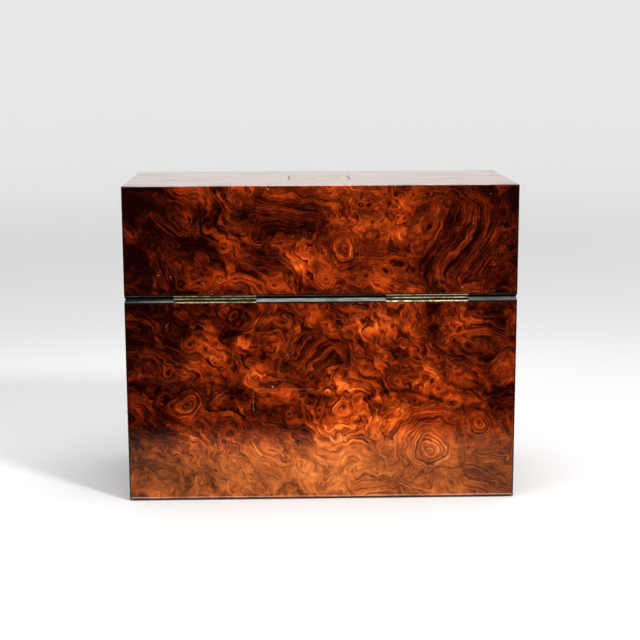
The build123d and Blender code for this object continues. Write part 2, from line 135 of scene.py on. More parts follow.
class Finish:
    """A material that is being written."""

    def __init__(self, name):
        self.material = bpy.data.materials.new(name)
        self.material.use_nodes = True
        self.tree = self.material.node_tree
        self.tree.nodes.clear()

    def node(self, kind, settings=None, sockets=None, output=0):
        """Adds a node: its settings first, then the values or wires of its sockets."""
        made = self.tree.nodes.new("ShaderNode" + kind)
        for name, value in (settings or {}).items():
            if name == "stops":
                self.set_stops(made.color_ramp, value)
            else:
                setattr(made, name, value)
        for name, value in (sockets or {}).items():
            if isinstance(value, Wire):
                self.tree.links.new(value.socket, made.inputs[name])
            else:
                made.inputs[name].default_value = value
        return Wire(self, made.outputs[output]) if made.outputs else made

    def set_stops(self, ramp, stops):
        """Puts colours at places along a ramp."""
        while len(ramp.elements) < len(stops):
            ramp.elements.new(1.0)
        for element, (place, colour) in zip(ramp.elements, stops):
            element.position = place
            element.color = (*colour, 1.0)

    def maths(self, operation, *values):
        return self.node("Math", {"operation": operation}, dict(enumerate(values)))

    def vectors(self, operation, *values, output=0):
        return self.node("VectorMath", {"operation": operation}, dict(enumerate(values)), output)

    def part(self, vector, axis):
        """One of a vector's three numbers."""
        return self.node("SeparateXYZ", {}, {0: vector}, axis)

    def scaled(self, vector, factor):
        """A vector made longer or shorter by a number."""
        return self.node("VectorMath", {"operation": "SCALE"}, {0: vector, "Scale": factor})

    def noise(self, place, size, detail=2.0, roughness=0.5, output=0):
        """Soft noise whose lumps are about as large as size."""
        sockets = {"Vector": place, "Scale": 1 / size, "Detail": detail, "Roughness": roughness}
        return self.node("TexNoise", {}, sockets, output)

    def grain(self, place, shares, size, detail=2.0, roughness=0.5):
        """Noise that is drawn out along the axes whose share is small."""
        return self.noise(self.vectors("MULTIPLY", place, shares), size, detail, roughness)

    def ramp(self, value, stops):
        """A colour that goes from one stop to the next as value goes from 0 to 1."""
        return self.node("ValToRGB", {"stops": stops}, {"Fac": value})

    def between(self, value, low, high, to_low=0.0, to_high=1.0):
        """A smooth step from to_low to to_high while value goes from low to high."""
        sockets = {"Value": value, "From Min": low, "From Max": high, "To Min": to_low, "To Max": to_high}
        return self.node("MapRange", {"interpolation_type": "SMOOTHSTEP"}, sockets)

    def blend(self, amount, first, second):
        """The second colour over the first."""
        settings = {"data_type": "RGBA"}
        return self.node("Mix", settings, {0: amount, 6: colour(first), 7: colour(second)}, 2)

    def place(self):
        """The point's place on the box at rest, in millimetres."""
        return self.scaled(self.node("TexCoord", output="Object"), 1 / MM)

    def shader(self, **sockets):
        """The main shader; a socket's name is written with low lines for spaces."""
        named = {name.replace("_", " "): value for name, value in sockets.items()}
        return self.node("BsdfPrincipled", {}, named)

    def bump(self, height, distance, strength):
        """A normal that follows a height of 0 to 1 over a real distance in millimetres."""
        return self.node("Bump", {}, {"Height": height, "Distance": distance * MM, "Strength": strength})

    def done(self, surface):
        """Joins the shader to the material's output."""
        self.node("OutputMaterial", {}, {"Surface": surface})
        return self.material

    def lay(self, **sockets):
        """A whole material that is nothing but the main shader."""
        return self.done(self.shader(**sockets))


def colour(value):
    """A colour for a socket: a wire stays, and three numbers get a fourth."""
    return value if isinstance(value, Wire) else (*value, 1.0)

# %% [markdown]
# ## Putting a finish on a piece
# A piece of the solid model keeps its mesh, and only what is in its material slots is changed.

# %% Paint
def paint(piece, material):
    piece.data.materials.clear()
    piece.data.materials.append(material)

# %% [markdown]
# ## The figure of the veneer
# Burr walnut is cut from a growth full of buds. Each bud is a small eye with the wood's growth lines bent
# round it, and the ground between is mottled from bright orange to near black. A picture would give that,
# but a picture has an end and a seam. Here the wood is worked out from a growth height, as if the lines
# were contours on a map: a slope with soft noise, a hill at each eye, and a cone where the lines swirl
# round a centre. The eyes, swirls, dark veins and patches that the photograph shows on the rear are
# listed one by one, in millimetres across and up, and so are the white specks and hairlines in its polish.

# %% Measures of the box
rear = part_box("case_back_veneer")[0].y / MM
base_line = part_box("case_back_veneer")[0].z / MM
seam = round(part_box("case_rim_facing")[1].z / MM, 3)
lid_top = solid_box[1].z / MM
half_width = solid_box[1].x / MM
half_depth = solid_box[1].y / MM
wall_thickness = 13.0
groove_depth = 3.0
hinge_end = 124  # distance of the hinges' outer ends from the middle
print("rear at", round(rear, 2), "- seam at", seam, "- top of the lid at", round(lid_top, 2))

# %% Eyes and patches
eyes = [  # across, up, reach, rise
    (-52, 226, 11, 13), (-40, 186, 11, 15), (-82, 218, 10, 13), (-111, 136, 12, 13), (-74, 160, 10, 11),
    (68, 226, 11, 15), (90, 235, 14, 18), (77, 261, 10, 11), (11, 213, 9, 12), (30, 212, 9, 12),
    (20, 217, 28, 22), (53, 198, 11, 14), (37, 194, 9, 11), (3, 191, 11, 14), (149, 211, 13, 13),
    (-115, 84, 22, 24), (-50, 39, 12, 14), (-18, 29, 10, 12), (-82, 29, 10, 11), (-105, 16, 8, 9),
    (-77, 8, 8, 10), (64, 103, 10, 13), (99, 97, 8, 11), (110, 84, 10, 14), (19, 81, 12, 14),
    (103, 137, 10, 11), (124, 133, 13, 15), (88, 52, 34, 34), (134, 67, 21, 24), (-28, 76, 10, 11),
    (-100, 175, 9, 11), (-33, 155, 9, 11), (45, 168, 8, 10), (-130, 112, 9, 10), (30, 128, 8, 10),
]

patches = [  # across, up, reach, how much lighter or darker
    (-108, 207, 24, -0.26), (-64, 210, 20, -0.16), (-118, 222, 20, -0.10), (-78, 146, 18, -0.30),
    (-51, 132, 24, -0.26), (-76, 96, 17, -0.26), (54, 76, 14, -0.24), (123, 125, 21, -0.26),
    (140, 111, 18, -0.26), (2, 122, 16, -0.16), (93, 143, 16, -0.20), (-157, 258, 40, -0.32),
    (-158, 200, 44, -0.22), (-160, 120, 50, -0.30), (-156, 60, 36, -0.24), (160, 258, 36, -0.28),
    (160, 198, 44, -0.24), (152, 88, 28, -0.22), (150, 18, 30, -0.26), (-120, 150, 30, -0.18),
    (-155, 20, 24, -0.26), (-88, 250, 26, -0.10), (-20, 232, 20, -0.12), (118, 215, 40, -0.16),
    (117, 258, 28, -0.14), (-52, 244, 28, -0.22), (146, 156, 24, -0.22), (-50, 72, 34, -0.14),
    (90, 22, 26, -0.14), (-48, 24, 26, -0.12), (-116, 182, 22, -0.16),
    (-80, 196, 19, 0.10), (-16, 205, 25, 0.16), (-26, 252, 20, 0.10), (22, 264, 24, 0.16),
    (50, 246, 40, 0.28), (62, 214, 30, 0.14), (50, 190, 26, 0.18), (10, 196, 26, 0.22),
    (-46, 158, 16, 0.12), (-49, 111, 15, 0.14), (52, 150, 24, 0.20), (40, 124, 26, 0.16),
    (15, 104, 24, 0.22), (-73, 83, 13, 0.20), (24, 74, 40, 0.26), (62, 66, 34, 0.20),
    (18, 34, 50, 0.22), (-26, 24, 46, 0.22), (-72, 20, 36, 0.16), (86, 100, 22, 0.14),
    (106, 50, 24, 0.14), (-14, 84, 22, 0.12), (-84, 112, 16, 0.12), (-84, 222, 18, 0.14),
]
patch_strength = 1.04
print(len(eyes), "eyes and", len(patches), "patches on the rear")

# %% Swirls, veins and marks
swirls = [  # what the lines bend round, the middle of the swirl, and its reach
    ((30, 276), (116, 220), 50), ((-30, -120), (-28, 252), 36), ((93, 46), (85, 54), 46),
    ((-115, 84), (-115, 84), 25), ((20, 217), (20, 217), 26), ((90, 190), (-52, 32), 34),
    ((130, 40), (142, 150), 24), ((53, 86), (-8, 127), 26), ((134, 67), (134, 67), 20),
    ((40, 250), (10, 168), 18), ((-60, 300), (-130, 235), 26), ((60, -60), (45, 12), 26),
    ((110, -190), (140, 24), 30),
]
dark_veins = [  # points across and up, width and darkness
    ([(-139, 81), (-106, 59), (-92, 6)], 3.0, 0.17), ([(-73, 50), (-58, 28), (-43, 4)], 3.0, 0.17),
    ([(36, 88), (56, 95), (77, 95), (102, 86)], 3.4, 0.24),
    ([(-160, 190), (-125, 180), (-90, 178)], 3.4, 0.12),
    ([(104, 10), (128, 22), (168, 30)], 6.0, 0.15),
]
specks = [  # across, up, size
    (-135.9, 195.5, 0.75), (-125.9, 193.9, 0.65), (118.5, 183.4, 0.8), (-41.6, 99.3, 1.1),
    (-44.0, 267.0, 0.8), (127.0, 237.0, 0.5), (141.0, 262.0, 0.5), (76.0, 214.5, 0.5),
    (-93.0, 108.0, 0.6), (-28.5, 127.0, 0.6),
]
hairlines = [((-56, 97.5), (-8, 97)), ((-58, 97), (-58, 79)), ((-45, 268), (-42, 264))]  # from and to
print(len(swirls), "swirls and", len(dark_veins), "dark veins")
print(len(specks), "specks and", len(hairlines), "hairlines")

# %% [markdown]
# ## Distances
# An eye, a swirl or a patch needs only its distance from a point. A dark vein needs its distance from a
# bent line, which is the least of its distances from each straight stretch. For the wood both are taken
# from a place that noise has pushed about, so that everything comes out as uneven as grown wood. The
# marks in the polish are taken from the place as it is, and so is the distance from a block, which is
# for the wax round the plaque and for the floor round the box.

# %% Distance from a point, a line and a block
def from_point(finish, place, across, up):
    return finish.vectors("DISTANCE", place, (across, rear, up), output="Value")


def from_stretch(finish, place, start, end):
    """Distance from the straight stretch between two places on the rear."""
    start = Vector((start[0], rear, start[1]))
    along = Vector((end[0], rear, end[1])) - start
    offset = finish.vectors("SUBTRACT", place, start)
    share = finish.vectors("DOT_PRODUCT", offset, along / along.length_squared, output="Value")
    held = finish.node("Clamp", {}, {"Value": share})
    return finish.vectors("DISTANCE", offset, finish.scaled(along, held), output="Value")


def from_vein(finish, place, points):
    """Distance from a line that bends at each of its points."""
    stretches = [from_stretch(finish, place, start, end) for start, end in zip(points, points[1:])]
    least = stretches[0]
    for stretch in stretches[1:]:
        least = finish.maths("MINIMUM", least, stretch)
    return least


def from_block(finish, place, half):
    """Distance from a block round the origin, given by half its sides."""
    outside = finish.vectors("SUBTRACT", finish.vectors("ABSOLUTE", place), half)
    return finish.vectors("LENGTH", finish.vectors("MAXIMUM", outside, (0, 0, 0)), output="Value")


def pushed(finish, place, size, amount):
    """A place that noise has moved by up to about amount."""
    push = finish.vectors("SUBTRACT", finish.noise(place, size, 2.0, 0.5, "Color"), (0.5, 0.5, 0.5))
    return finish.vectors("ADD", place, finish.scaled(push, amount * 2))

# %% [markdown]
# ## Wear, old marks and painted light at the edges
# Years of handling show first at the edges of a polished box. Dirt has darkened the arrises and the joint
# round the plaque, and painted shade darkens the bottom edge. A pale painted highlight runs along the top
# edge and a pale painted reflection of the floor along the foot, and cloths have thinned the polish of the
# top in streaks. Each kind of mark is a mask from 0 to 1, which later blends a colour in or takes away some
# of the clear coat.

# %% Wear, old marks and painted edge light
dirt_from = 1.7  # distance from an arris where the dirt begins
dirt_full = 0.9  # distance from it where the dirt is full
# the painted reflection of the floor along the foot lies this high above the base line
pale_line = 1.6  # height of the pale line above the base line
plaque_gap = 0.35  # width of the wax round the plaque


def dirty_arrises_and_shaded_foot(finish, across, depth, height):
    """Dirt at the arrises where two faces meet, and painted shade along the bottom edge."""
    side = finish.between(abs(across), half_width - dirt_from, half_width - dirt_full)
    end = finish.between(abs(depth), half_depth - dirt_from, half_depth - dirt_full)
    # painted shade along the bottom edge, where the box meets the table
    foot = finish.between(height, base_line + 0.5, base_line + 1.1, 1.0, 0.0)
    return finish.maths("MAXIMUM", side * end, foot) * 0.92


def painted_edge_highlights(finish, place, depth, height):
    """A pale painted highlight along the top edge and a painted reflection of the floor along the foot."""
    outer = finish.between(abs(depth), half_depth - 1.3, half_depth - 0.5)
    top = finish.between(height, lid_top - 0.75, lid_top - 0.3, 0.0, 0.5)
    from_line = abs(height - (base_line + pale_line))
    foot = finish.between(from_line, 0.15, 0.7, 0.40, 0.0)
    broken = finish.grain(place, (0.2, 1, 1), 6, 2.0)
    return finish.maths("MAXIMUM", top, foot) * outer * finish.between(broken, 0.3, 0.6, 0.3, 0.8)


def plaque_line(finish, place):
    """The dark line of wax round the plaque in the lid's top."""
    low, high = (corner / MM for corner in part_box("lid_plaque"))
    away = from_block(finish, finish.vectors("SUBTRACT", place, (low + high) / 2), (high - low) / 2)
    return finish.between(away, plaque_gap, plaque_gap + 0.15, 1.0, 0.0)


def old_scars(finish, place):
    """Pale specks, two hairlines and a nick in the polish of the rear."""
    found = 0.0
    for across, up, size in specks:
        speck = finish.between(from_point(finish, place, across, up), 0, size, 0.7, 0)
        found = finish.maths("MAXIMUM", found, speck)
    broken = finish.between(finish.noise(place, 9, 2.0), 0.35, 0.6, 0.35, 1.0)
    for start, end in hairlines:
        away = from_stretch(finish, place, start, end)
        found = finish.maths("MAXIMUM", found, finish.between(away, 0.05, 0.6, 0.13, 0) * broken)
    return found


def thin_polish(finish, place, across, depth, height):
    """Where rubbing has thinned the polish of the lid's top: in streaks, at its ends and its front edge."""
    streaks = finish.grain(place, (0.13, 1, 1), 9, 3.0, 0.6)
    at_ends = finish.between(abs(across), 60, 165, 0.5, 1.0)
    on_top = finish.between(height, lid_top - 0.6, lid_top - 0.2)
    at_front = finish.between(depth, half_depth - 4.0, half_depth - 1.0, 0, 0.6)
    streaked = finish.between(streaks, 0.42, 0.72, 0, 0.24) * at_ends
    return finish.maths("MAXIMUM", streaked, at_front) * on_top


print("dirt begins", dirt_from, "mm from an arris, and wax fills", plaque_gap, "mm round the plaque")

# %% [markdown]
# ## The height of growth
# Lines that run like contours need a height for every point. It starts as a slope, which alone would
# give straight grain. Each eye adds a hill, soft noise makes the ground uneven, and clusters of tiny buds
# add small rings. In a swirl a cone round its centre takes the slope's place, so that the lines bend
# evenly, as they do where the wood had no buds.

# %% Growth height
slope = Vector((0.20, 0.3, 0.42))
cone_slope = 1.15  # how steep a swirl's cone is
cone_level = 30  # how far it stands above the slope
bud_spacing = 8.5


def over_eyes(finish, growth, close):
    """A hill at each eye: the new height, the pits in their middles, and how open the ground is."""
    pits = 0.0
    open_ground = 1.0
    for across, up, reach, rise in eyes:
        away = from_point(finish, close, across, up)
        growth = growth + finish.between(away, 0, reach, rise, 0)
        pits = pits + finish.between(away, 0.6, 2.2, 0.2, 0)
        open_here = finish.between(away, reach * 0.5, reach * 1.1, 0.2, 1)
        open_ground = finish.maths("MINIMUM", open_ground, open_here)
    return growth, pits, open_ground


def over_swirls(finish, growth, close, blurred):
    """A cone in each swirl: the new height, and where the lines flow round a centre."""
    streaming = pushed(finish, pushed(finish, close, 34, 10), 15, 1.8)
    flowing = 0.0
    for centre, middle, reach in swirls:
        inside = finish.between(from_point(finish, blurred, *middle), reach * 0.55, reach, 1.0, 0.0)
        radius = math.dist(centre, middle)
        level = Vector((middle[0], rear, middle[1])).dot(slope) + cone_level
        cone = from_point(finish, streaming, *centre) * cone_slope + (level - radius * cone_slope)
        growth = growth + (cone - growth) * inside
        flowing = finish.maths("MAXIMUM", flowing, inside)
    return growth, flowing


def over_buds(finish, growth, place, wandering, crowding):
    """Small hills where tiny buds crowd together: the new height, and the pits in their middles."""
    clusters = finish.between(finish.noise(place, 50, 1.0), 0.48, 0.60) * crowding
    sockets = {"Vector": wandering, "Scale": 1 / bud_spacing}
    away = finish.node("TexVoronoi", {"feature": "F1"}, sockets, "Distance") * bud_spacing
    growth = growth + finish.between(away, 0, 5.2, 6.5, 0) * clusters
    return growth, finish.between(away, 0.3, 1.5, 0.26, 0) * clusters


def growth_height(finish, place, close, wandering, blurred, wild):
    """The whole height, with its pits, how open the ground is, and how free of eyes and swirls."""
    growth = finish.vectors("DOT_PRODUCT", place, slope, output="Value")
    growth, pits, open_ground = over_eyes(finish, growth, close)
    hills = finish.noise(wandering, 44, 1.0) * 44 + finish.noise(wandering, 14, 1.5) * 9
    buds = finish.noise(close, 9, 1.0, 0.6) * 9 * wild * open_ground
    growth = growth + hills * (wild * 0.8 + 0.2) + buds
    growth, flowing = over_swirls(finish, growth, close, blurred)
    growth, small_pits = over_buds(finish, growth, place, wandering, wild * open_ground)
    settled = finish.maths("MINIMUM", open_ground, 1 - flowing)
    return growth, pits + small_pits, open_ground, settled


print("small buds stand", bud_spacing, "mm apart")

# %% [markdown]
# ## The tone of the wood
# The tone says how light the wood is. Soft clouds come first. Then streaks follow the growth: a noise
# changes fast with the height and slowly with the place, so that it is drawn out along the contours.
# Broad streaks, bands, lines and fibres differ only in how wide they are. The rings of the years are a
# sine of the height, faint and broken. Pits, dark veins and patches are added last.

# %% Tone
year_pitch = 2.8
middle_tone = 0.478


def along_growth(finish, growth, place, pitch, reach, detail, roughness):
    """Noise in streaks that follow the growth lines: pitch across them, reach along them."""
    far = finish.scaled(place, 1 / reach)
    across = finish.node("CombineXYZ", {}, {"X": growth / pitch})
    streaked = finish.vectors("ADD", far, across)
    sockets = {"Vector": streaked, "Scale": 1.0, "Detail": detail, "Roughness": roughness}
    return finish.node("TexNoise", {}, sockets)


def streaked_tone(finish, growth, place, close, wandering, settled, painted_floor_reflection):
    """The tone with its streaks, and how much its dark veins and the rings of the years take from it."""
    clouds = finish.noise(wandering, 36, 3.0, 0.62)
    broad = along_growth(finish, growth, wandering, 11, 34, 2.0, 0.5)
    bands = along_growth(finish, growth, close, 5.0, 30, 1.5, 0.5)
    lines = along_growth(finish, growth, wandering, 2.5, 10, 2.0, 0.6) * settled
    lines = lines + along_growth(finish, growth, place, 2.1, 45, 2.0, 0.6) * (1 - settled)
    mottle = finish.noise(pushed(finish, place, 9, 4.5), 4.5, 3.0, 0.66)
    fibres = along_growth(finish, growth, close, 1.5, 7, 2.0, 0.62)
    weights = [(clouds, 0.80), (broad, 0.50), (bands, 0.45), (lines, 0.80), (mottle, 0.32), (fibres, 0.46)]
    tone = middle_tone
    for figure, weight in weights:
        tone = tone + (figure - 0.5) * weight

    veins = finish.between(lines, 0.36, 0.47, 0.10, 0.0)
    uneven = finish.noise(close, 5, 2.0, 0.6)
    ring = finish.maths("SINE", (growth + uneven * 1.3) * (2 * math.pi / year_pitch))
    clear = finish.between(finish.noise(place, 16, 2.0), 0.40, 0.60, 0.25, 1.0)
    # the rings show more strongly under the painted reflection of the floor
    years = finish.between(ring, -1.0, 0.35, 0.15, 0.0) * clear * (0.9 - settled * 0.4 + painted_floor_reflection * 0.3)
    return tone, veins, years


def vein_shadows(finish, place):
    """How dark the long dark veins of the rear are."""
    gently = pushed(finish, place, 26, 3.5)
    shadows = 0.0
    for points, width, darkness in dark_veins:
        shadows = shadows + finish.between(from_vein(finish, gently, points), 0, width, darkness, 0)
    return shadows


print("a year's growth is", year_pitch, "mm of height")

# %% [markdown]
# ## The colour of the wood
# Two ramps turn the tone into colour. One is the deep red walnut of the photograph, from near black
# through red brown to orange, and the other is the more golden brown that shows in small flecks between.
# Low on the rear the polish mirrors the pale floor, and a mirrored white alone comes out too grey, so a
# painted reflection of the floor makes the wood there paler and nearly all golden as well.

# %% Colour
red_walnut = [
    (0.10, (0.0055, 0.0004, 0.0002)), (0.28, (0.026, 0.0019, 0.0006)), (0.44, (0.072, 0.0058, 0.0010)),
    (0.58, (0.160, 0.0145, 0.0017)), (0.71, (0.30, 0.030, 0.0030)), (0.84, (0.52, 0.066, 0.0055)),
    (1.0, (0.84, 0.17, 0.018)),
]
golden_walnut = [
    (0.10, (0.0060, 0.0012, 0.0003)), (0.28, (0.030, 0.0052, 0.0010)), (0.44, (0.078, 0.0140, 0.0020)),
    (0.58, (0.165, 0.0330, 0.0045)), (0.71, (0.30, 0.066, 0.0100)), (0.84, (0.50, 0.128, 0.023)),
    (1.0, (0.80, 0.26, 0.056)),
]
# colour of the painted highlight and reflection on the edges
edge_highlight_colour = (0.80, 0.55, 0.45)
# near black for the dirt and for the painted shade
dirt_and_shade_colour = (0.010, 0.004, 0.002)
scar_colour = (0.62, 0.36, 0.22)


def walnut_colour(finish, tone, close, painted_floor_reflection):
    flecks = finish.between(finish.noise(close, 7, 3.0, 0.7), 0.42, 0.64, 0.0, 0.33)
    # the painted reflection of the floor turns the low wood golden
    golden = finish.maths("MAXIMUM", flecks, painted_floor_reflection * 0.95)
    return finish.blend(golden, finish.ramp(tone, red_walnut), finish.ramp(tone, golden_walnut))


print(len(red_walnut), "colours in each ramp")

# %% [markdown]
# ## Burr walnut under polish
# The veneer's material puts the parts together. Noise moves every place first: a little and closely for
# the eyes and lines, more where the wood is wild, and most for the patches, so that their rims are
# ragged. The polish is a clear coat over dull wood, which is how French polish works: the wood has hardly
# a gleam of its own, and the coat has a sharp one. The front has a matching leaf with the rear's figure.

# %% Burr walnut
# the painted reflection of the pale floor, low on the box, fades out between these heights
floor_reflection_heights = (26, 80)  # heights between which the pale foot fades out
# painted shade on the left end of the box, away from the key light
shaded_left_end = (-166, -96)  # places across between which the left end grows lighter


def burr_walnut(name, leaf):
    """The veneer; leaf is (1, 1, 1), or (1, -1, 1) for a leaf with the rear's figure on the front."""
    finish = Finish(name)
    at_rest = finish.place()
    place = finish.vectors("MULTIPLY", at_rest, leaf)
    across, depth, height = (finish.part(place, axis) for axis in "XYZ")
    # painted reflection of the floor: strongest low on the rear, weaker on the other sides
    painted_floor_reflection = finish.between(height, *floor_reflection_heights, 1.0, 0.0) * finish.between(depth, rear + 3, rear + 40, 1.0, 0.35)

    wild = 1 - finish.between(finish.noise(place, 90, 1.0), 0.54, 0.66, 0.0, 0.7)
    wandering = pushed(finish, place, 24, wild * 5.5 + 1.0)
    close = pushed(finish, pushed(finish, place, 12, 2.2), 4, 0.6)
    blurred = pushed(finish, pushed(finish, pushed(finish, place, 34, 13), 10, 8), 3.5, 3)
    growth, pits, open_ground, settled = growth_height(finish, place, close, wandering, blurred, wild)
    tone, veins, years = streaked_tone(finish, growth, place, close, wandering, settled, painted_floor_reflection)
    tone = tone - pits - vein_shadows(finish, place) - veins - years + (1 - open_ground) * 0.07
    for patch_across, patch_up, reach, lift in patches:
        away = from_point(finish, blurred, patch_across, patch_up)
        tone = tone + finish.between(away, 0, reach, lift * patch_strength, 0)
    tone = tone - finish.between(height, seam - 3, seam + 3, 0, 0.05)
    # painted shade: the left end is darker
    tone = tone - finish.between(across, *shaded_left_end, 0.11, 0)
    # the painted reflection of the floor makes the low wood paler and flatter
    tone = tone * (1 - painted_floor_reflection * 0.38) + painted_floor_reflection * 0.368

    wax = plaque_line(finish, place)
    scars = old_scars(finish, at_rest)
    # dirt at the arrises and wax round the plaque, with painted shade along the bottom edge
    dirt_and_shade = finish.maths("MAXIMUM", dirty_arrises_and_shaded_foot(finish, across, depth, height), wax)
    shade = walnut_colour(finish, tone, close, painted_floor_reflection)
    # painted highlight on the top edge and painted reflection of the floor along the foot
    shade = finish.blend(painted_edge_highlights(finish, place, depth, height), shade, edge_highlight_colour)
    shade = finish.blend(dirt_and_shade, shade, dirt_and_shade_colour)
    shade = finish.blend(scars, shade, scar_colour)
    coat = (1 - scars) * (1 - wax * 0.4) * (1 - thin_polish(finish, place, across, depth, height))
    return finish.lay(
        Base_Color=shade, Roughness=0.5, Specular_IOR_Level=0.0,
        Coat_Weight=coat, Coat_Roughness=0.025, Coat_IOR=1.52,
    )


walnut = burr_walnut("burr_walnut", (1, 1, 1))
matching_leaf = burr_walnut("burr_walnut_front", (1, -1, 1))
for name, node in nodes.items():
    if name.endswith("_veneer"):
        paint(node, matching_leaf if "front" in name else walnut)
print("burr walnut has", len(walnut.node_tree.nodes), "nodes")

# %% [markdown]
# ## Black facing
# The rims of the case and the lid are faced with black-stained wood. At the back both are bevelled, and
# the two slopes make the groove that the hinges lie in; on the other three sides they slope in only a
# little, which leaves a black line. The slope that faces up is grey with dust and with a painted sheen of
# light, most of all between the hinges and at the left end. The slope that faces down is black, with one
# faint painted highlight along it.

# %% Black facing
black_stain = (0.0022, 0.0019, 0.0017)
# grey of dust and of the painted sheen on the slope that faces up
grey_for_dust_and_sheen = (0.27, 0.257, 0.232)


def black_facing():
    finish = Finish("black_facing")
    place = finish.place()
    facing_up = finish.part(finish.node("NewGeometry", output="Normal"), "Z")
    across = finish.part(place, "X")
    height = finish.part(place, "Z")
    from_middle = abs(across)
    # how much dust and painted sheen: most between the hinges and at the left end
    sheen_and_dust_spread = finish.between(from_middle, 40, 130, 1.0, 0.2) + finish.between(across, 100, 130, 0.0, 0.2)
    left_end = finish.between(across, -hinge_end - 2, -hinge_end + 2, 1.0, 0.0)
    sheen_and_dust_spread = sheen_and_dust_spread + left_end * finish.between(across, -165, -hinge_end - 2, 0.0, 0.4)
    sheen_and_dust_spread = sheen_and_dust_spread * (1 - left_end * finish.between(height, seam - 2.1, seam - 1.3, 0.0, 0.85))

    at_end = finish.between(from_middle, half_width - wall_thickness - 0.5, half_width - wall_thickness + 0.5)
    along_back = finish.grain(place, (0.12, 1, 1), 1.6, 3.0, 0.6)
    along_end = finish.grain(place, (1, 0.12, 1), 1.6, 3.0, 0.6)
    streaks = along_back * (1 - at_end) + along_end * at_end
    # the slope that faces up, grey with dust and painted sheen
    upward_slope = finish.between(facing_up, 0.35, 0.7) * finish.between(height, seam - 2.9, seam - 2.3)
    upward_slope = upward_slope * finish.between(height, seam - 0.5, seam - 0.1, 1.0, 0.03)
    dust_and_sheen = upward_slope * sheen_and_dust_spread * finish.between(streaks, 0.3, 0.7, 0.4, 1.0)
    # a painted highlight along the arris of the lid's slope
    painted_rim_highlight = finish.between(abs(height - (seam + 2.6)), 0.1, 0.45, 0.35, 0.0)
    dust_and_sheen = finish.maths("MAXIMUM", dust_and_sheen, painted_rim_highlight * finish.between(streaks, 0.4, 0.7, 0.3, 1.0))
    return finish.lay(
        Base_Color=finish.blend(dust_and_sheen, black_stain, grey_for_dust_and_sheen), Specular_IOR_Level=0.05,
        Roughness=finish.between(streaks, 0.3, 0.7, 0.45, 0.6), Normal=finish.bump(streaks, 0.05, 0.5),
    )


ebony = black_facing()
for name in ("case_rim_facing", "lid_rim_facing"):
    paint(nodes[name], ebony)
print("two rims faced in black")

# %% [markdown]
# ## Brass
# The plates and screws are old cast brass, brown in patches where polish has dried. One function makes
# them all, told how tarnished each is and which way its fine scratches run. The plaque is seen almost
# edge on, where brass mirrors the wall more than it shows its own colour, and the inside of the lock,
# too deep for any light, is painted in shade.

# %% Brass plates and screws
clean_brass = (0.90, 0.66, 0.30)
pale_brass = (0.56, 0.44, 0.27)
dull_brass = (0.62, 0.45, 0.24)
tarnish_brown = (0.085, 0.050, 0.022)
lock_shade_and_tarnish = (0.012, 0.008, 0.005)


def brass(name, bright, tarnish, along, grazing=(1, 1, 1), dark_below=None):
    """Brass with scratches along a direction; tarnish goes from 0, clean, to 1, brown all over.

    Grazing is its colour edge on, and below the height dark_below it is painted in shade.
    """
    finish = Finish(name)
    place = finish.place()
    scratches = finish.grain(place, along, 0.5, 3.0, 0.7)
    stains = finish.noise(place, 7, 4.0, 0.65)
    brown = finish.between(stains + scratches * 0.35, 0.62 - tarnish * 0.4, 1.12 - tarnish * 0.3)
    # painted shade: below dark_below the brass is dark, as if no light reached so deep
    if dark_below:
        deep = finish.between(finish.part(place, "Z"), dark_below - 1, dark_below, 1, 0)
        brown = finish.maths("MAXIMUM", brown, deep)
    # on the lock one near black serves for the tarnish and for the painted shade
    shade = finish.blend(brown, bright, lock_shade_and_tarnish if dark_below else tarnish_brown)
    return finish.lay(
        Base_Color=shade, Metallic=finish.between(brown, 0, 1, 0.75, 0.3), Specular_Tint=colour(grazing),
        Roughness=finish.between(stains, 0.3, 0.7, 0.24, 0.46), Normal=finish.bump(scratches, 0.03, 0.5),
    )


plaque_brass = brass("plaque_brass", pale_brass, 0.0, (0.1, 1, 1), grazing=(0.75, 0.86, 1.0))
plate_brass = brass("plate_brass", clean_brass, 0.06, (0.1, 1, 1))
lock_brass = brass("lock_brass", clean_brass, 0.06, (0.1, 1, 1), dark_below=seam - 3)
screw_brass = brass("screw_brass", dull_brass, 0.35, (1, 1, 1))
print("four kinds of brass written")

# %% [markdown]
# ## The hinges
# The photograph shows each hinge as three thin bright lines with dark metal between. They are the parts
# that a polishing cloth can reach: the edge of the lid's leaf, the knuckles and the edge of the case's
# leaf, and each line is partly brass rubbed bright and partly a painted highlight. So the height of a
# point decides how bright it is, and stains break the lines up. The leaves inside the box, which no cloth
# rubs, are much the same all over.

# %% Hinge brass
# lines partly rubbed bright and partly painted highlights
rubbed_and_highlight_lines = [(seam + 2.3, 1.5), (seam - 0.1, 0.98), (seam - 2.8, 0.68)]  # height and strength


